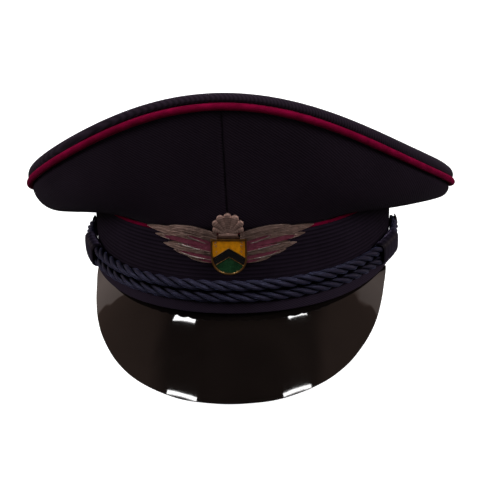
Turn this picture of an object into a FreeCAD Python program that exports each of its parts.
# Military-style peaked cap: saddle crown on a wire hoop, band with two rounds of
# piping, visor, doubled chin cord with sliders and side buttons, winged badge.
#
# Cap frame: origin at the centre of the head opening, in the plane of the band's
# lower rim, +X to the right, -Y towards the visor, +Z up.  Every piece then gets
# the same placement, which turns the cap about X so that it stands level on the
# visor's front edge and the rear rim of the band.
import FreeCAD, Part
import Sketcher
import math
import os
from FreeCAD import Placement, Rotation, Vector

X_AXIS = Vector(1, 0, 0)
Z_AXIS = Vector(0, 0, 1)
ORIGIN = Vector(0, 0, 0)

doc = FreeCAD.newDocument("PeakedCap")

# ---------------------------------------------------------- driving dimensions
DIMENSIONS = [
    # band oval of four arcs; offset 0 is the outer face of the band
    ("end_centre", 30.0), ("end_radius", 74.0),
    ("side_centre", 40.0), ("side_radius", 124.0),
    ("band_height", 40.6), ("band_cloth", 1.0),
    ("stiffener_base", 1.5), ("stiffener_height", 38.5), ("stiffener_thickness", 1.2),
    ("welt_height", 5.4), ("welt_thickness", 1.2),
    ("sweat_base", 2.3), ("sweat_height", 33.7), ("sweat_thickness", 1.2),
    ("reed_radius", 0.8),
    ("flange_height", 10.0),
    # crown; the waves are the cosine terms of the height of its edge
    ("crown_half_width", 116.1), ("crown_half_length", 120.0), ("crown_egg", 0.11),
    ("wave_zero", 58.146), ("wave_one", 24.847), ("wave_two", 21.775),
    ("wave_three", 0.292), ("wave_four", 1.373), ("wave_five", 1.062),
    ("piping_radius", 1.55), ("low_piping_radius", 0.75), ("rim_height", 6.3),
    ("quarter_cloth", 0.8), ("hoop_radius", 1.0),
    # visor
    ("visor_thickness", 1.8), ("visor_lining", 0.7), ("visor_dome", 2.6),
    ("bead_radius", 1.1), ("visor_grow", 0.7),
    # chin cord and side buttons
    ("cord_radius", 2.4), ("cord_offset", 3.9), ("cord_low", 9.9), ("cord_high", 15.6),
    ("button_y", -5.0), ("button_z", 15.0), ("button_radius", 5.0), ("shank_radius", 1.3),
    ("sleeve_front", -50.0), ("sleeve_back", -31.0), ("sleeve_wall", 0.8), ("sleeve_gap", 0.3),
    # badge
    ("badge_post_x", 21.0), ("badge_post_z", 34.0), ("badge_post_radius", 1.0),
    ("shield_half_width", 8.75), ("shield_top", 40.5), ("shield_foot", 22.0),
    # standing attitude, degrees
    ("rest_tilt", 8.45),
]
sheet = doc.addObject("Spreadsheet::Sheet", "Dims")
for row, (alias, value) in enumerate(DIMENSIONS, 1):
    sheet.set("A%d" % row, alias)
    sheet.set("B%d" % row, str(value))
    sheet.setAlias("B%d" % row, alias)
doc.recompute()
dim = {alias: float(getattr(sheet, alias)) for alias, _ in DIMENSIONS}

STANDING = Placement(ORIGIN, Rotation(X_AXIS, -dim["rest_tilt"]))
SIDES = (("right", 1), ("left", -1))
pieces = []


# -------------------------------------------------------------- document tools
def bind(obj, prop, alias, extra=None):
    """drive a property from the sheet, with an optional amount added"""
    expression = "Dims." + alias
    if extra is not None:
        expression += " + %g" % extra
    obj.setExpression(prop, expression)


def register(obj, name):
    """label a finished piece, stand it with the cap and list it for export"""
    obj.Label = name
    obj.Placement = STANDING
    pieces.append(obj)


def feature(name, shape):
    obj = doc.addObject("Part::Feature", name)
    obj.Shape = shape
    register(obj, name)


def sketch_on(body, name, role, offset=None):
    """sketch attached to the origin plane of the body that has the given role"""
    sketch = body.newObject("Sketcher::SketchObject", name)
    plane = next(f for f in body.Origin.OriginFeatures if f.Role == role)
    sketch.AttachmentSupport = [(plane, "")]
    sketch.MapMode = "FlatFace"
    if offset is not None:
        sketch.AttachmentOffset = offset
    return sketch


def add_loop(sketch, curves):
    """add curves to a sketch, each joined to the next in a closed loop"""
    ids = [sketch.addGeometry(curve, False) for curve in curves]
    for this, following in zip(ids, ids[1:] + ids[:1]):
        sketch.addConstraint(Sketcher.Constraint("Coincident", this, 2, following, 1))


def pad_sketch(body, sketch, name, height_alias):
    pad = body.newObject("PartDesign::Pad", name)
    pad.Profile = sketch
    bind(pad, "Length", height_alias)
    body.Tip = pad


# ----------------------------------------------------------------- shape tools
def biggest(shape):
    return max(shape.Solids, key=lambda solid: solid.Volume)


def mirrored(shape):
    """the left-hand twin of a right-hand shape"""
    return shape.mirror(ORIGIN, X_AXIS)


def outward(shape):
    """turn a solid the right way out"""
    if shape.Volume < 0:
        shape.reverse()
    return shape


def polygon_face(points):
    return Part.Face(Part.makePolygon(points + [points[0]]))


def union(shapes):
    return shapes[0].fuse(shapes[1:]).removeSplitter()


def grid(rows, columns, point):
    """points of point(u, v), with u and v running from 0 to 1"""
    return [[point(i / (rows - 1.0), j / (columns - 1.0)) for j in range(columns)]
            for i in range(rows)]


def surface(rows):
    result = Part.BSplineSurface()
    result.interpolate(rows)
    return result


def borders(patch):
    u0, u1, v0, v1 = patch.bounds()
    curves = (patch.uIso(u0), patch.uIso(u1), patch.vIso(v0), patch.vIso(v1))
    return [curve.toShape() for curve in curves]


def slab(outer_grid, inner_grid):
    """closed solid between two point grids of the same size"""
    outer, inner = surface(outer_grid), surface(inner_grid)
    # ruled sides first; lofted sides if the ruled ones do not close the shell
    for ruled in (True, False):
        faces = [outer.toShape(), inner.toShape()]
        for a, b in zip(borders(outer), borders(inner)):
            if ruled:
                faces.append(Part.makeRuledSurface(a, b))
            else:
                faces += Part.makeLoft([a, b], False, True).Faces
        shell = Part.Shell(faces)
        shell.sewShape()
        if shell.isClosed():
            break
    solid = outward(Part.Solid(shell))
    if not solid.isValid():
        solid.fix(1e-5, 1e-5, 1e-4)
    return solid


def tube(points, radius):
    """round cord lofted along an interpolated path"""
    path = Part.BSplineCurve()
    path.interpolate(points)
    first, last = path.FirstParameter, path.LastParameter
    count = len(points)
    rings = []
    for i in range(count):
        u = first + (last - first) * i / (count - 1.0)
        rings.append(Part.Wire([Part.makeCircle(radius, path.value(u), path.tangent(u)[0])]))
    return outward(Part.makeLoft(rings, True, False))


def swept_cord(path, first_edge, radius):
    """round cord swept along a wire of arcs"""
    start = first_edge.valueAt(first_edge.FirstParameter)
    tangent = first_edge.tangentAt(first_edge.FirstParameter)
    profile = Part.Wire([Part.makeCircle(radius, start, tangent)])
    return outward(path.makePipeShell([profile], True, False))


# ------------------------------------------------------------------- band oval
END_Y, END_R = dim["end_centre"], dim["end_radius"]
SIDE_X, SIDE_R = dim["side_centre"], dim["side_radius"]
# the arcs meet tangentially, on the line through their two centres
JOINT = math.atan2(END_Y, SIDE_X)
# centre x, centre y, radius, start angle, end angle: front, right, rear, left
OVAL = [
    (0, -END_Y, END_R, -math.pi + JOINT, -JOINT),
    (-SIDE_X, 0, SIDE_R, -JOINT, JOINT),
    (0, END_Y, END_R, JOINT, math.pi - JOINT),
    (SIDE_X, 0, SIDE_R, math.pi - JOINT, math.pi + JOINT),
]


def circle_arc(cx, cy, radius, start, end, z=0):
    return Part.ArcOfCircle(Part.Circle(Vector(cx, cy, z), Z_AXIS, radius), start, end)


def oval_arcs(offset):
    return [circle_arc(cx, cy, radius + offset, start, end)
            for cx, cy, radius, start, end in OVAL]


def oval_radius(direction, offset):
    """distance from the origin to the offset oval; direction in radians from the front"""
    ray_x, ray_y = math.sin(direction), -math.cos(direction)
    hits = []
    for cx, cy, radius, start, end in OVAL:
        along = ray_x * cx + ray_y * cy
        square = along * along - (cx * cx + cy * cy - (radius + offset) ** 2)
        if square < 0:
            continue
        reach = along + math.sqrt(square)
        angle = math.atan2(ray_y * reach - cy, ray_x * reach - cx)
        if any(start - 1e-9 <= angle + turn <= end + 1e-9 for turn in (0, 2 * math.pi)):
            hits.append(reach)
    return min(hits)


def side_x(y, offset):
    """x of the right-hand side arc at y"""
    return -SIDE_X + math.sqrt((SIDE_R + offset) ** 2 - y * y)


def front_y(x, offset):
    """y of the front arc at x"""
    return -(END_Y + math.sqrt((END_R + offset) ** 2 - x * x))


# --------------------------------------------- band, stiffener, welt, sweatband
LAYER_GAP = 0.25
SWEAT_GAP = 1.9
SHANK_CLEARANCE = 0.4
POST_CLEARANCE = 0.35
# offsets of the faces from the outer face of the band
BAND_IN = -dim["band_cloth"]
STIFF_OUT = BAND_IN - LAYER_GAP
STIFF_IN = STIFF_OUT - dim["stiffener_thickness"]
SWEAT_OUT = STIFF_IN - SWEAT_GAP
SWEAT_IN = SWEAT_OUT - dim["sweat_thickness"]

BUTTON_Y, BUTTON_Z = dim["button_y"], dim["button_z"]
POST_X, POST_Z = dim["badge_post_x"], dim["badge_post_z"]


def ring_body(name, outer, inner, height_alias, base_alias=None):
    """oval wall between two offsets, from z = 0 or from the base dimension"""
    body = doc.addObject("PartDesign::Body", name)
    base = dim[base_alias] if base_alias else 0.0
    offset = Placement(Vector(0, 0, base), Rotation())
    sketch = sketch_on(body, name + "_outline", "XY_Plane", offset)
    if base_alias:
        bind(sketch, "AttachmentOffset.Base.z", base_alias)
    add_loop(sketch, oval_arcs(outer))
    add_loop(sketch, oval_arcs(inner))
    pad_sketch(body, sketch, name + "_wall", height_alias)
    return body


def hole_sketch(body, name, role, centres, radius_alias, clearance):
    sketch = sketch_on(body, name, role)
    radius = dim[radius_alias] + clearance
    for k, (across, up) in enumerate(centres):
        sketch.addGeometry(Part.Circle(Vector(across, up, 0), Z_AXIS, radius), False)
        sketch.addConstraint(Sketcher.Constraint("Radius", k, radius))
        bind(sketch, "Constraints[%d]" % k, radius_alias, clearance)
    return sketch


def drill_shank_holes(body, prefix):
    """one bore across the whole cap, through both side walls"""
    name = prefix + "_shank_holes"
    sketch = hole_sketch(body, name, "YZ_Plane", [(BUTTON_Y, BUTTON_Z)],
                         "shank_radius", SHANK_CLEARANCE)
    pocket = body.newObject("PartDesign::Pocket", name + "_cut")
    pocket.Profile = sketch
    pocket.Type = 0
    pocket.Midplane = True
    pocket.Length = 400.0
    body.Tip = pocket


def drill_badge_holes(body, prefix, mid_offset):
    """holes for the badge posts through the front wall only"""
    name = prefix + "_badge_holes"
    sketch = hole_sketch(body, name, "XZ_Plane", [(-POST_X, POST_Z), (POST_X, POST_Z)],
                         "badge_post_radius", POST_CLEARANCE)
    pocket = body.newObject("PartDesign::Pocket", name + "_cut")
    pocket.Profile = sketch
    pocket.Type = 0
    pocket.Length = 200.0
    body.Tip = pocket
    doc.recompute()
    # cloth still standing at a hole in the front wall means the cut went to the rear
    probe = Vector(-POST_X, front_y(-POST_X, mid_offset), POST_Z)
    if body.Shape.isInside(probe, 0.01, True):
        pocket.Reversed = True


def drilled_wall(name, prefix, outer, inner, height_alias, base_alias=None):
    body = ring_body(name, outer, inner, height_alias, base_alias)
    drill_shank_holes(body, prefix)
    drill_badge_holes(body, prefix, (outer + inner) / 2)
    register(body, name)


drilled_wall("cap_band", "band", 0.0, BAND_IN, "band_height")
drilled_wall("band_stiffener", "stiffener", STIFF_OUT, STIFF_IN,
             "stiffener_height", "stiffener_base")
register(ring_body("band_lower_welt", LAYER_GAP + dim["welt_thickness"], LAYER_GAP,
                   "welt_height"), "band_lower_welt")
register(ring_body("sweatband", SWEAT_OUT, SWEAT_IN, "sweat_height", "sweat_base"),
         "sweatband")


# -------------------------------------------------- cords laid round the oval
REED_Z = 1.2
LOW_PIPING_R = dim["low_piping_radius"]
LOW_PIPING_OFFSET = -0.5
LOW_PIPING_GAP = 0.2


def oval_ring(offset, z, radius):
    """round cord laid along the four arcs"""
    edges = [arc.toShape() for arc in oval_arcs(offset)]
    path = Part.Wire(Part.__sortEdges__(edges))
    path.translate(Vector(0, 0, z))
    return swept_cord(path, path.OrderedEdges[0], radius)


feature("sweatband_reed", oval_ring((SWEAT_OUT + SWEAT_IN) / 2, REED_Z, dim["reed_radius"]))
feature("lower_piping", oval_ring(LOW_PIPING_OFFSET,
                                  dim["band_height"] + LOW_PIPING_GAP + LOW_PIPING_R,
                                  LOW_PIPING_R))

# ------------------------------------------------------- crown edge and saddle
# The edge is an egg-shaped loop.  Its parameter p is 0 at the front, positive on
# the right and pi at the rear.
HALF_WIDTH, HALF_LENGTH = dim["crown_half_width"], dim["crown_half_length"]
EGG = dim["crown_egg"]
WAVES = [dim["wave_" + k] for k in ("zero", "one", "two", "three", "four", "five")]


def edge_plan(p):
    return HALF_WIDTH * math.sin(p) * (1 + EGG * math.cos(p)), -HALF_LENGTH * math.cos(p)


def edge_z(p):
    return sum(wave * math.cos(k * p) for k, wave in enumerate(WAVES))


def edge_offset(p, offset):
    """x and y of the edge moved outwards along its normal in plan"""
    x0, y0 = edge_plan(p - 1e-3)
    x1, y1 = edge_plan(p + 1e-3)
    x, y = edge_plan(p)
    run_x, run_y = x1 - x0, y1 - y0
    length = math.hypot(run_x, run_y)
    return x + offset * run_y / length, y - offset * run_x / length


def saddle_z(x, y):
    """height of the smooth saddle that passes through the edge"""
    forward = -y / HALF_LENGTH
    across = x / (HALF_WIDTH * (1 + EGG * forward))
    power = complex(1, 0)
    height = 0.0
    for wave in WAVES:
        height += wave * power.real
        power *= complex(forward, across)
    return height


# ------------------------------------------------------------ crown top layers
RIM = dim["rim_height"]
PIPING_R = dim["piping_radius"]
TOP_CLOTH = 1.4
TOP_OVERHANG = 0.3          # top panel beyond the edge
CAVITY_OFFSET = -1.3        # wall of the hollow, from the edge
TOP_FOOT = PIPING_R + 0.65  # lower edge of the panel, above the saddle


def crown_prism(offset):
    """upright block bounded by the crown edge moved outwards"""
    z0, z1 = -20, 160
    points = [Vector(*edge_offset(2 * math.pi * k / 72, offset), z0) for k in range(72)]
    outline = Part.BSplineCurve()
    outline.interpolate(points, PeriodicFlag=True)
    return Part.Face(Part.Wire([outline.toShape()])).extrude(Vector(0, 0, z1 - z0))


def saddle_slab(top, bottom):
    """slab between two heights above the saddle, wider than the crown"""
    half_x, half_y = 132.0, 130.0

    def layer(lift):
        def point(u, v):
            x, y = -half_x + 2 * half_x * u, -half_y + 2 * half_y * v
            return Vector(x, y, saddle_z(x, y) + lift)
        return grid(15, 15, point)
    return slab(layer(top), layer(bottom))


def crown_layer(offset, top, bottom):
    return biggest(crown_prism(offset).common(saddle_slab(top, bottom)))


def rim_edges(shape, offset, lift):
    """edges that lie at an offset from the crown edge and a lift above the saddle"""
    found = []
    for edge in shape.Edges:
        # guards against edges without a usable curve
        try:
            mid = edge.valueAt((edge.FirstParameter + edge.LastParameter) / 2)
        except Exception:
            continue
        p = math.atan2(mid.x / HALF_WIDTH, -mid.y / HALF_LENGTH)
        for _ in range(30):
            x, y = edge_plan(p)
            p += math.atan2(mid.x, -mid.y) - math.atan2(x, -y)
        x, y = edge_offset(p, offset)
        on_outline = math.hypot(mid.x - x, mid.y - y) < 0.5
        if on_outline and abs(mid.z - saddle_z(mid.x, mid.y) - lift) < 0.4:
            found.append(edge)
    return found


def round_rim(panel):
    """round the upper rim with the largest radius that works"""
    for radius in (2.4, 1.8, 1.2):
        # guards against a fillet that cannot be built at this radius
        try:
            rounded = biggest(panel.makeFillet(radius, rim_edges(panel, TOP_OVERHANG, RIM)))
            if rounded.isValid() and rounded.Volume > 0.8 * panel.Volume:
                return rounded
        except Exception:
            continue
    return panel


def top_panel():
    """shallow lid, open below, with a rounded rim"""
    block = crown_layer(TOP_OVERHANG, RIM, TOP_FOOT)
    hollow = crown_layer(CAVITY_OFFSET, RIM - TOP_CLOTH, TOP_FOOT - 3)
    return round_rim(biggest(block.cut(hollow)))


feature("crown_top_panel", top_panel())
feature("crown_top_interlining", crown_layer(-5.2, RIM - 1.6, RIM - 2.4))
feature("lining_top", crown_layer(-5.5, 3.5, 3.0))


# ------------------------------------------------- cords round the crown edge
HOOP_R = dim["hoop_radius"]
HOOP_OFFSET = -2.75
HOOP_LIFT = RIM - TOP_CLOTH - 0.3 - 1.25 * HOOP_R


def edge_path(offset, lift, gap_degrees):
    """once round the crown above the saddle, with a small gap at centre rear"""
    count = 73
    gap = math.radians(gap_degrees)
    points = []
    for k in range(count):
        p = -math.pi + gap + (2 * math.pi - 2 * gap) * k / (count - 1.0)
        x, y = edge_offset(p, offset)
        points.append(Vector(x, y, saddle_z(x, y) + lift))
    return points


feature("upper_piping", tube(edge_path(0, 0, 0.2), PIPING_R))
feature("crown_wire_hoop", tube(edge_path(HOOP_OFFSET, HOOP_LIFT, 0.6), HOOP_R))

# ------------------------------------------------- crown quarters, side lining
# Upright section from the band (foot) to the crown edge (head), a cubic curve.
# Slopes (degrees above the outward direction) and pulls (handle length over
# chord) are given at front, side and rear.
QUARTER = {
    "edge_offset": -1.2, "oval_offset": -0.4,
    "foot_gap": 0.7, "head_drop": PIPING_R + 0.3,
    "foot_slope": (79, -38, 10), "head_slope": (79, 84, 82),
    "foot_pull": (0.33, 0.62, 0.45), "head_pull": (0.33, 0.42, 0.40),
}
LINING = {
    "edge_offset": -4.4, "oval_offset": -3.6,
    "foot_gap": 1.8, "head_drop": 0.4,
    "foot_slope": (78, 7, 35), "head_slope": (78, -25, 25),
    "foot_pull": (0.3, 0.3, 0.3), "head_pull": (0.3, 0.3, 0.3),
}
QUARTER_TURN = math.pi / 2
SEAM_GAP = math.radians(0.12)
QUARTER_CLOTH = dim["quarter_cloth"]
LINING_CLOTH = 0.5


def blend(p, values):
    """smooth value round the crown from those at front, side and rear"""
    front, side, rear = values
    c = math.cos(p)
    return side + (front - rear) / 2.0 * c + ((front + rear) / 2.0 - side) * c * c


def bezier(controls, t):
    a, b, c, d = controls
    m = 1 - t
    return m ** 3 * a + 3 * m * m * t * b + 3 * m * t * t * c + t ** 3 * d


def section_point(section, p, t, inset):
    """point of a section; t from foot to head, inset measured into the crown"""
    x, y = edge_offset(p, section["edge_offset"])
    direction = math.atan2(x, -y)
    head_r = math.hypot(x, y)
    foot_r = oval_radius(direction, section["oval_offset"])
    foot_z = dim["band_height"] + 2 * LOW_PIPING_R + section["foot_gap"]
    head_z = edge_z(p) - section["head_drop"]
    foot_slope = math.radians(blend(p, section["foot_slope"]))
    head_slope = math.radians(blend(p, section["head_slope"]))
    chord = math.hypot(head_r - foot_r, head_z - foot_z)
    foot_pull = chord * blend(p, section["foot_pull"])
    head_pull = chord * blend(p, section["head_pull"])
    radii = (foot_r, foot_r + foot_pull * math.cos(foot_slope),
             head_r - head_pull * math.cos(head_slope), head_r)
    heights = (foot_z, foot_z + foot_pull * math.sin(foot_slope),
               head_z - head_pull * math.sin(head_slope), head_z)
    before, after = max(0, t - 1e-3), min(1, t + 1e-3)
    run = bezier(radii, after) - bezier(radii, before)
    rise = bezier(heights, after) - bezier(heights, before)
    length = math.hypot(run, rise)
    r = bezier(radii, t) - inset * rise / length
    z = bezier(heights, t) + inset * run / length
    return Vector(r * math.sin(direction), -r * math.cos(direction), z)


def side_panel(section, span, insets, rows, columns, heights=(0.0, 1.0)):
    """panel over a span of p, between two insets and two fractions of the section"""
    start, end = span
    low, high = heights

    def layer(inset):
        return grid(rows, columns, lambda u, v: section_point(
            section, start + (end - start) * u, low + (high - low) * v, inset))
    return slab(layer(insets[0]), layer(insets[1]))


def seamed_span(first, last):
    """span of p between two seams, counted in quarter turns from the front"""
    return first * QUARTER_TURN + SEAM_GAP, last * QUARTER_TURN - SEAM_GAP


for name, first, last in (("front_right", 0, 1), ("front_left", -1, 0),
                          ("rear_right", 1, 2), ("rear_left", -2, -1)):
    feature("crown_quarter_" + name, side_panel(
        QUARTER, seamed_span(first, last), (0, QUARTER_CLOTH), rows=25, columns=11))

STAY_HALF_SPAN = math.radians(24)
feature("crown_front_stay", side_panel(
    QUARTER, (-STAY_HALF_SPAN, STAY_HALF_SPAN), (QUARTER_CLOTH + 0.4, QUARTER_CLOTH + 1.4),
    rows=13, columns=7, heights=(0.03, 0.97)))

for name, first, last in (("right", 0, 2), ("left", -2, 0)):
    feature("lining_side_" + name, side_panel(
        LINING, seamed_span(first, last), (0, LINING_CLOTH), rows=27, columns=7))


def sweat_shield():
    """oval film under the top lining, its long axis front to rear"""
    centre_y, half_length, half_width = 2, 62, 46
    outline = Part.Ellipse(Vector(0, centre_y, -20), half_length, half_width)
    film = Part.Face(Part.Wire([outline.toShape()]))
    film.rotate(Vector(0, centre_y, 0), Z_AXIS, 90)
    return biggest(film.extrude(Vector(0, 0, 180)).common(saddle_slab(2.5, 2.0)))


feature("sweat_shield", sweat_shield())

# ----------------------------------------------------------------------- visor
VISOR_Y = -31.0        # centre of the polar frame of the visor
VISOR_INNER_Z = -0.5
VISOR_OVAL_OFFSET = -3.0
# x, y, z of the right-hand half of the visor's edge, from centre front
VISOR_EDGE = [
    (0, -133.2, -34.9), (22.7, -130.5, -34.0), (35, -125.3, -32.2), (43.6, -120.2, -30.6),
    (50.3, -115, -28.9), (55.5, -109.3, -27.1), (60, -104, -25.3), (63.4, -98, -23.4),
    (69.2, -87, -19.6), (73.4, -75, -15.6), (76.2, -63, -11.5), (78.2, -50.5, -7.2),
    (79.4, -43, -4.6), (80.6, -31, -0.6),
]
GROW = dim["visor_grow"]
VISOR_THICKNESS = dim["visor_thickness"]
BEAD_R = dim["bead_radius"]

# angle from the front, radius and height of the whole edge, left to right
right_half = [(math.atan2(x, -(y - VISOR_Y)), math.hypot(x, y - VISOR_Y) + GROW,
               z - 0.8 * GROW) for x, y, z in VISOR_EDGE]
POLAR_EDGE = [(-a, r, z) for a, r, z in right_half[:0:-1]] + right_half


def polar_slope(j, column):
    before = POLAR_EDGE[max(0, j - 1)]
    after = POLAR_EDGE[min(len(POLAR_EDGE) - 1, j + 1)]
    return (after[column] - before[column]) / (after[0] - before[0])


def visor_edge(angle):
    """radius and height of the visor's edge, by cubic interpolation"""
    i = 0
    while i < len(POLAR_EDGE) - 2 and POLAR_EDGE[i + 1][0] < angle:
        i += 1
    start, end = POLAR_EDGE[i], POLAR_EDGE[i + 1]
    span = end[0] - start[0]
    t = (angle - start[0]) / span
    return [(2 * t ** 3 - 3 * t * t + 1) * start[column]
            + (t ** 3 - 2 * t * t + t) * polar_slope(i, column) * span
            + (-2 * t ** 3 + 3 * t * t) * end[column]
            + (t ** 3 - t * t) * polar_slope(i + 1, column) * span
            for column in (1, 2)]


def visor_inner_radius(angle):
    """distance from the visor's centre to the head opening, by bisection"""
    low, high = 20.0, 140.0
    for _ in range(60):
        mid = (low + high) / 2
        x, y = mid * math.sin(angle), VISOR_Y - mid * math.cos(angle)
        if math.hypot(x, y) < oval_radius(math.atan2(x, -y), VISOR_OVAL_OFFSET):
            low = mid
        else:
            high = mid
    return (low + high) / 2


def visor_point(angle, t, drop, setback):
    """t from the head opening to the edge, drop below the upper face, setback of the edge"""
    edge_r, edge_height = visor_edge(angle)
    inner_r = visor_inner_radius(angle)
    width = edge_r - inner_r
    fall = edge_height - VISOR_INNER_Z
    dome = dim["visor_dome"] * min(1.0, width / 24.0)
    u = t * (width - setback) / width
    slope = fall + dome * 4 * (1 - 2 * u)
    length = math.hypot(width, slope)
    r = inner_r + u * width + drop * slope / length
    z = VISOR_INNER_Z + fall * u + dome * 4 * u * (1 - u) - drop * width / length
    return Vector(r * math.sin(angle), VISOR_Y - r * math.cos(angle), z)


def visor_layer(drops, setback, half_angle, start=0.0):
    """sheet between two drops, up to half_angle (degrees) either side of the front"""
    limit = math.radians(half_angle)

    def layer(drop):
        return grid(41, 7, lambda u, v: visor_point(
            -limit + 2 * limit * u, start + (1 - start) * v, drop, setback))
    return slab(layer(drops[0]), layer(drops[1]))


def visor_bead():
    """round bead along the edge"""
    angles = [math.radians(-88.5 + 177.0 * i / 40) for i in range(41)]
    return tube([visor_point(a, 1.0, VISOR_THICKNESS / 2, BEAD_R) for a in angles], BEAD_R)


UNDERLAY_TOP = VISOR_THICKNESS + 0.3
feature("visor_shell", visor_layer((0.0, VISOR_THICKNESS), 2 * BEAD_R + 0.25, 89.0))
feature("visor_underlay", visor_layer((UNDERLAY_TOP, UNDERLAY_TOP + dim["visor_lining"]),
                                      2 * BEAD_R + 1.2, 86, start=0.05))
feature("visor_edge_bead", visor_bead())


def visor_flange():
    """upright strip inside the stiffener, round the front of the oval"""
    outer, inner = STIFF_IN - 0.3, STIFF_IN - 1.3
    end = math.radians(-16)  # angle on the side arc where the strip stops

    def end_point(side, offset):
        r = SIDE_R + offset
        return Vector(side * (-SIDE_X + r * math.cos(end)), r * math.sin(end), 0)

    def front_arc(offset):
        return circle_arc(0, -END_Y, END_R + offset, -math.pi + JOINT, -JOINT)

    def right_arc(offset):
        return circle_arc(-SIDE_X, 0, SIDE_R + offset, -JOINT, end)

    def left_arc(offset):
        return circle_arc(SIDE_X, 0, SIDE_R + offset, math.pi - end, math.pi + JOINT)

    body = doc.addObject("PartDesign::Body", "visor_flange")
    sketch = sketch_on(body, "flange_outline", "XY_Plane")
    for curve in (
            front_arc(outer), right_arc(outer),
            Part.LineSegment(end_point(1, outer), end_point(1, inner)),
            right_arc(inner), front_arc(inner), left_arc(inner),
            Part.LineSegment(end_point(-1, inner), end_point(-1, outer)),
            left_arc(outer)):
        sketch.addGeometry(curve, False)
    pad_sketch(body, sketch, "flange_wall", "flange_height")
    register(body, "visor_flange")


visor_flange()

# ------------------------------------------------------------------ chin cord
CORD_R, CORD_OFFSET = dim["cord_radius"], dim["cord_offset"]
CORD_LOW, CORD_HIGH = dim["cord_low"], dim["cord_high"]
CORD_END_Y = dim["sleeve_back"] + 1.0  # the cords end just inside the sliders' rear end


def cord_angle(y):
    """angle on the right-hand side arc at which the cord passes y"""
    return math.asin(y / (SIDE_R + CORD_OFFSET))


def chin_cord(z):
    """one run of cord: left side arc, front arc, right side arc"""
    end = cord_angle(CORD_END_Y)
    side_r, front_r = SIDE_R + CORD_OFFSET, END_R + CORD_OFFSET
    arcs = [circle_arc(SIDE_X, 0, side_r, math.pi - end, math.pi + JOINT, z),
            circle_arc(0, -END_Y, front_r, -math.pi + JOINT, -JOINT, z),
            circle_arc(-SIDE_X, 0, side_r, -JOINT, end, z)]
    path = Part.Wire([arc.toShape() for arc in arcs])
    return swept_cord(path, path.Edges[0], CORD_R)


feature("chin_cord_lower", chin_cord(CORD_LOW))
feature("chin_cord_upper", chin_cord(CORD_HIGH))


def stadium(r):
    """stadium face in the XZ plane round both cords"""
    x = side_x(0, CORD_OFFSET)
    low, high = CORD_LOW, CORD_HIGH
    curves = [
        Part.Arc(Vector(x + r, 0, high), Vector(x, 0, high + r), Vector(x - r, 0, high)),
        Part.LineSegment(Vector(x - r, 0, high), Vector(x - r, 0, low)),
        Part.Arc(Vector(x - r, 0, low), Vector(x, 0, low - r), Vector(x + r, 0, low)),
        Part.LineSegment(Vector(x + r, 0, low), Vector(x + r, 0, high)),
    ]
    return Part.Face(Part.Wire([curve.toShape() for curve in curves]))


def sweep_round_side(face, y0, y1):
    """sweep a face from y = 0 round the right-hand side arc, between two y"""
    start, end = cord_angle(y0), cord_angle(y1)
    turned = face.copy()
    centre = Vector(-SIDE_X, 0, 0)
    turned.rotate(centre, Z_AXIS, math.degrees(start))
    return turned.revolve(centre, Z_AXIS, math.degrees(end - start))


def cord_slider():
    """flat sleeve round both cords, softened at its open ends"""
    inner_r = CORD_R + dim["sleeve_gap"]
    outer_r = inner_r + dim["sleeve_wall"]
    front, back = dim["sleeve_front"], dim["sleeve_back"]
    outer = sweep_round_side(stadium(outer_r), front, back)
    inner = sweep_round_side(stadium(inner_r), front - 2, back + 2)
    sleeve = biggest(outer.cut(inner))
    # guards against a fillet that cannot be built; the ends then stay sharp
    try:
        end_edges = [edge for face in sleeve.Faces
                     if face.Surface.TypeId == "Part::GeomPlane"
                     and abs(face.normalAt(0, 0).z) < 0.2 and face.Area < 60
                     for edge in face.Edges]
        softened = biggest(sleeve.makeFillet(0.3, end_edges))
        if softened.isValid():
            return softened
    except Exception:
        pass
    return sleeve


slider = cord_slider()
feature("cord_slider_right", slider)
feature("cord_slider_left", mirrored(slider))

# ------------------------------------------------------ cord eyes, side buttons
SHANK_R = dim["shank_radius"]
BAND_X = side_x(BUTTON_Y, 0.0)       # outer face of the band at the button
EYE_X = BAND_X + 0.35
EYE_THICKNESS = 2.4
EYE_R = 4.4
TAIL_R = 1.15
BUTTON_X = EYE_X + EYE_THICKNESS + LAYER_GAP
INSIDE_X = BAND_X + STIFF_IN         # inner face of the stiffener at the button


def eye_tail(cord_z, y_start, z_start):
    """tail from the eye to the end of a cord"""
    x = EYE_X + EYE_THICKNESS / 2
    return tube([
        Vector(x, y_start, z_start),
        Vector(x + 0.1, (y_start + CORD_END_Y) / 2 + 1.0, z_start * 0.55 + cord_z * 0.45),
        Vector(side_x(CORD_END_Y, CORD_OFFSET), CORD_END_Y + 1.3, cord_z),
    ], TAIL_R)


def cord_eye():
    """disc round the button shank with a tail to each cord"""
    disc = Part.makeCylinder(EYE_R, EYE_THICKNESS, Vector(EYE_X, BUTTON_Y, BUTTON_Z), X_AXIS)
    eye = disc.fuse([eye_tail(CORD_HIGH, BUTTON_Y - 2.8, BUTTON_Z + 1.6),
                     eye_tail(CORD_LOW, BUTTON_Y - 2.4, BUTTON_Z - 2.4)])
    bore = Part.makeCylinder(SHANK_R + SHANK_CLEARANCE, 20,
                             Vector(EYE_X - 8, BUTTON_Y, BUTTON_Z), X_AXIS)
    return biggest(eye.cut(bore).removeSplitter())


eye = cord_eye()
feature("cord_eye_right", eye)
feature("cord_eye_left", mirrored(eye))

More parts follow.
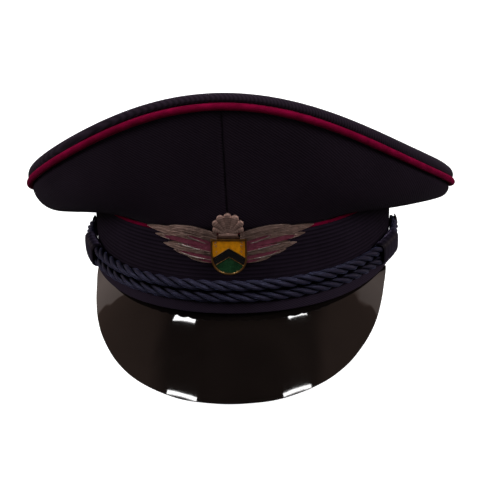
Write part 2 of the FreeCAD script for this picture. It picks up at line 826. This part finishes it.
# distance from the back of the button, radius over the button's own
BUTTON_DOME = [(1.7, 0.0), (1.62, 0.28), (1.4, 0.54), (1.05, 0.76), (0.6, 0.92),
               (0.3, 1.0), (0.06, 0.97), (0.0, 0.88)]
BUTTON_PROFILE = [(BUTTON_X, 0.0)] + [(BUTTON_X + rise, share * dim["button_radius"])
                                      for rise, share in BUTTON_DOME]
SHANK_OUT, SHANK_IN = BUTTON_X - 0.02, INSIDE_X - 1.4
SHANK_PROFILE = [(SHANK_OUT, 0.0), (SHANK_OUT, SHANK_R), (SHANK_IN, SHANK_R), (SHANK_IN, 0.0)]
WASHER_OUT, WASHER_IN = INSIDE_X - 0.3, INSIDE_X - 1.0
WASHER_R, WASHER_BORE = 4.2, SHANK_R + 0.02
WASHER_PROFILE = [(WASHER_OUT, WASHER_BORE), (WASHER_OUT, WASHER_R),
                  (WASHER_IN, WASHER_R), (WASHER_IN, WASHER_BORE)]


def turned_part(name, profile, side):
    """part turned about the button axis; the profile holds x and radius"""
    body = doc.addObject("PartDesign::Body", name)
    offset = Placement(Vector(0, BUTTON_Y, BUTTON_Z), Rotation())
    sketch = sketch_on(body, name + "_profile", "XY_Plane", offset)
    bind(sketch, "AttachmentOffset.Base.y", "button_y")
    bind(sketch, "AttachmentOffset.Base.z", "button_z")
    points = [Vector(side * x, radius, 0) for x, radius in profile]
    add_loop(sketch, [Part.LineSegment(a, b) for a, b in zip(points, points[1:] + points[:1])])
    turned = body.newObject("PartDesign::Revolution", name + "_turned")
    turned.Profile = sketch
    turned.ReferenceAxis = (sketch, ["H_Axis"])
    turned.Angle = 360.0
    body.Tip = turned
    register(body, name)


for side_name, side in SIDES:
    turned_part("side_button_" + side_name, BUTTON_PROFILE, side)
    turned_part("button_shank_" + side_name, SHANK_PROFILE, side)
    turned_part("button_washer_" + side_name, WASHER_PROFILE, side)

# ---------------------------------------------------------------- badge tools
# Flat outlines in the XZ plane are extruded forwards and trimmed to a thin
# sector that follows the front arc of the band.
CUTTER_Y = -90
CUTTER_RUN = Vector(0, -30, 0)


def sector(inner, outer):
    """part of an upright tube in front of the band, between two offsets"""
    z0, height = 15.0, 45.0
    axis_foot = Vector(0, -END_Y, z0)
    outside = Part.makeCylinder(END_R + outer, height, axis_foot, Z_AXIS)
    inside = Part.makeCylinder(END_R + inner, height, axis_foot, Z_AXIS)
    box = Part.makeBox(140, 100, height, Vector(-70, -END_Y - 100, z0))
    return outside.cut(inside).common(box)


def capsule(x0, z0, x1, z1, w0, w1):
    """tapered bar with round ends, w0 and w1 its half-widths"""
    length = math.hypot(x1 - x0, z1 - z0)
    ux, uz = (x1 - x0) / length, (z1 - z0) / length
    nx, nz = -uz, ux
    p = [Vector(x0 + nx * w0, 0, z0 + nz * w0), Vector(x1 + nx * w1, 0, z1 + nz * w1),
         Vector(x1 + ux * w1, 0, z1 + uz * w1), Vector(x1 - nx * w1, 0, z1 - nz * w1),
         Vector(x0 - nx * w0, 0, z0 - nz * w0), Vector(x0 - ux * w0, 0, z0 - uz * w0)]
    curves = [Part.LineSegment(p[0], p[1]), Part.Arc(p[1], p[2], p[3]),
              Part.LineSegment(p[3], p[4]), Part.Arc(p[4], p[5], p[0])]
    face = Part.Face(Part.Wire([curve.toShape() for curve in curves]))
    face.translate(Vector(0, CUTTER_Y, 0))
    return face.extrude(CUTTER_RUN)


def blade(x0, z0, x1, z1, half_width, root_trim=0.0, tip_trim=0.0):
    """pointed feather from root to tip, shortened at either end"""
    length = math.hypot(x1 - x0, z1 - z0)
    ux, uz = (x1 - x0) / length, (z1 - z0) / length
    kept = length - root_trim - tip_trim

    def point(share, width):
        along = root_trim + share * kept
        return Vector(x0 + ux * along - uz * width, CUTTER_Y, z0 + uz * along + ux * width)

    # share of the length, share of the half-width
    stations = ((0.0, 0.85), (0.4, 1.0), (0.72, 0.86), (0.90, 0.50))
    upper = [point(share, half_width * k) for share, k in stations]
    lower = [point(share, -half_width * k) for share, k in stations]
    return polygon_face(upper + [point(1.0, 0.0)] + lower[::-1]).extrude(CUTTER_RUN)


# ---------------------------------------------------------------- badge wings
# root x, root z, tip x, tip z and half-width of each feather of the right wing
FEATHERS = [
    (9.6, 42.3, 30.5, 45.5, 1.35), (9.6, 40.2, 41.2, 43.8, 1.75),
    (9.6, 37.7, 36.6, 40.3, 1.60), (9.6, 35.2, 32.4, 36.5, 1.55),
    (9.6, 32.8, 26.4, 33.6, 1.45), (9.6, 30.5, 19.9, 30.9, 1.35),
]
SLOT_SHARE = 0.58  # slot width over feather width
ENAMEL_GAP = 0.12


def wing():
    """feathers on an upright bar, all but the top one with a slot in the front face"""
    frame = union([blade(*feather) for feather in FEATHERS]
                  + [capsule(10.2, 30.3, 10.2, 41.6, 1.3, 1.3)]).common(sector(3.0, 4.3))
    slots = union([blade(*ends, SLOT_SHARE * width, 3.2, 3.0)
                   for *ends, width in FEATHERS[1:]]).common(sector(3.6, 5.0))
    return biggest(frame.cut(slots))


def wing_enamel():
    """one enamel bar in each slot"""
    bars = [blade(*ends, SLOT_SHARE * width - ENAMEL_GAP, 3.5, 3.6).common(sector(3.7, 4.2))
            for *ends, width in FEATHERS[1:]]
    return Part.makeCompound([biggest(bar) for bar in bars])


right_wing = wing()
right_enamel = wing_enamel()
feature("badge_wing_right", right_wing)
feature("badge_wing_left", mirrored(right_wing))
feature("badge_wing_enamel_right", right_enamel)
feature("badge_wing_enamel_left",
        Part.makeCompound([mirrored(bar) for bar in right_enamel.Solids]))

# --------------------------------------------------------------- badge shield
SHIELD_Y = front_y(0, 3.0)  # back of the shield
SHIELD_SIDE = 9.4           # height of the straight sides
CHEVRON_Z = 33.2
CHEVRON_HALF = 2.1
CHEVRON_GAP = 0.12
CHEVRON_SLOPE = 0.62


def shield_face(inset, y):
    """flat-topped shield, pointed below"""
    w = dim["shield_half_width"] - inset
    top = dim["shield_top"] - inset
    foot = dim["shield_foot"] + inset * 1.35
    mid = dim["shield_top"] - SHIELD_SIDE
    bulge_z = foot + (mid - foot) * 0.31
    curves = [
        Part.LineSegment(Vector(-w, y, top), Vector(w, y, top)),
        Part.LineSegment(Vector(w, y, top), Vector(w, y, mid)),
        Part.Arc(Vector(w, y, mid), Vector(w * 0.72, y, bulge_z), Vector(0, y, foot)),
        Part.Arc(Vector(0, y, foot), Vector(-w * 0.72, y, bulge_z), Vector(-w, y, mid)),
        Part.LineSegment(Vector(-w, y, mid), Vector(-w, y, top)),
    ]
    return Part.Face(Part.Wire([curve.toShape() for curve in curves]))


def chevron(half):
    """bar with its point upwards at the centre, wider than the shield"""
    reach = 12.0
    y, z = SHIELD_Y + 2, CHEVRON_Z
    end_z = z - reach * CHEVRON_SLOPE
    points = [Vector(-reach, y, end_z - half), Vector(0, y, z - half),
              Vector(reach, y, end_z - half), Vector(reach, y, end_z + half),
              Vector(0, y, z + half), Vector(-reach, y, end_z + half)]
    return polygon_face(points).extrude(Vector(0, -8, 0))


def shield():
    """rimmed tray, with a plate in it split into field, chevron and base"""
    block = shield_face(0, SHIELD_Y).extrude(Vector(0, -1.9, 0))
    recess = shield_face(0.85, SHIELD_Y - 0.6).extrude(Vector(0, -2.5, 0))
    feature("badge_shield_rim", biggest(block.cut(recess)))
    plate = shield_face(1.0, SHIELD_Y - 0.75).extrude(Vector(0, -0.85, 0))
    remainder = plate.cut(chevron(CHEVRON_HALF + CHEVRON_GAP)).Solids
    feature("badge_shield_field", max(remainder, key=lambda solid: solid.CenterOfMass.z))
    feature("badge_shield_base", min(remainder, key=lambda solid: solid.CenterOfMass.z))
    feature("badge_shield_chevron", biggest(plate.common(chevron(CHEVRON_HALF))))


shield()

# ------------------------------------------------------ badge finial and back
FINIAL_Z = 42.6
# angle from upright (degrees), length and tip half-width of each rib
FINIAL_RIBS = [(0, 10.6, 1.95), (23, 10.3, 1.95), (-23, 10.3, 1.95), (46, 9.2, 1.85),
               (-46, 9.2, 1.85), (69, 7.4, 1.6), (-69, 7.4, 1.6)]


def finial():
    """fan of seven ribs, like a scallop, over a small bar"""
    parts = []
    for angle, length, half_width in FINIAL_RIBS:
        x = length * math.sin(math.radians(angle))
        z = length * math.cos(math.radians(angle))
        parts.append(capsule(x * 0.15, FINIAL_Z + z * 0.15, x * 0.86, FINIAL_Z + z * 0.86,
                             0.7, half_width))
    parts.append(capsule(-3.6, 42.3, 3.6, 42.3, 0.95, 0.95))
    front = front_y(0, 0)
    plate = Part.makeBox(40, 1.5, 60, Vector(-20, front - 4.9, 20))
    fan = biggest(union(parts).common(plate))
    # turns the shape's own placement only, which register() sets afterwards
    fan.rotate(Vector(0, front - 3.4, 42), X_AXIS, 11)
    return fan


def back_plate():
    """thin plate behind both wings and the shield"""
    right = union([blade(*ends, width * 0.8, 0.0, 2.5) for *ends, width in FEATHERS]
                  + [capsule(0, 29, 0, 38, 6.0, 6.0), capsule(0, 34.5, 12, 34.5, 4.6, 4.6)])
    return biggest(union([right, mirrored(right)]).common(sector(2.0, 2.7)))


feature("badge_finial", finial())
feature("badge_back_plate", back_plate())

# ------------------------------------------------------- badge posts and nuts
NUT_OFFSET = STIFF_IN - 0.35
NUT_R, NUT_THICKNESS = 3.0, 0.8
NUT_CLEARANCE = 0.25


def badge_post(side_name, side):
    """straight post from behind the back plate to inside the stiffener"""
    name = "badge_post_" + side_name
    front, rear = front_y(POST_X, 1.55), front_y(POST_X, SWEAT_OUT + 0.65)
    post = doc.addObject("Part::Cylinder", name)
    bind(post, "Radius", "badge_post_radius")
    post.Height = rear - front
    register(post, name)
    post.Placement = STANDING.multiply(
        Placement(Vector(side * POST_X, front, POST_Z), Rotation(X_AXIS, -90)))


def badge_nut(side_name, side):
    """ring lying flat against the curved inner face of the stiffener"""
    seat = Vector(side * POST_X, front_y(POST_X, NUT_OFFSET), POST_Z)
    lean = math.asin(POST_X / (END_R + NUT_OFFSET))
    flat = Rotation(Z_AXIS, side * math.degrees(lean)).multiply(Rotation(X_AXIS, -90))
    inward = Vector(-side * math.sin(lean), math.cos(lean), 0)
    disc = doc.addObject("Part::Cylinder", "nut_disc_" + side_name)
    disc.Radius = NUT_R
    disc.Height = NUT_THICKNESS
    disc.Placement = Placement(seat, flat)
    hole = doc.addObject("Part::Cylinder", "nut_hole_" + side_name)
    bind(hole, "Radius", "badge_post_radius", NUT_CLEARANCE)
    hole.Height = 3.0
    hole.Placement = Placement(seat - inward * 1.0, flat)
    nut = doc.addObject("Part::Cut", "badge_nut_" + side_name)
    nut.Base = disc
    nut.Tool = hole
    register(nut, "badge_nut_" + side_name)


for side_name, side in SIDES:
    badge_post(side_name, side)
    badge_nut(side_name, side)

# ------------------------------------------------------------ check and export
doc.recompute()
problems = ["state " + obj.Name for obj in doc.Objects
            if "Invalid" in obj.State or "Error" in obj.State]
for piece in pieces:
    if piece.Shape.isNull() or not piece.Shape.isValid() or not piece.Shape.Solids:
        problems.append("shape " + piece.Label)
if problems:
    raise SystemExit("problems: %s" % problems)

os.makedirs("parts", exist_ok=True)
for piece in pieces:
    piece.Shape.exportStep("parts/" + piece.Label + ".step")
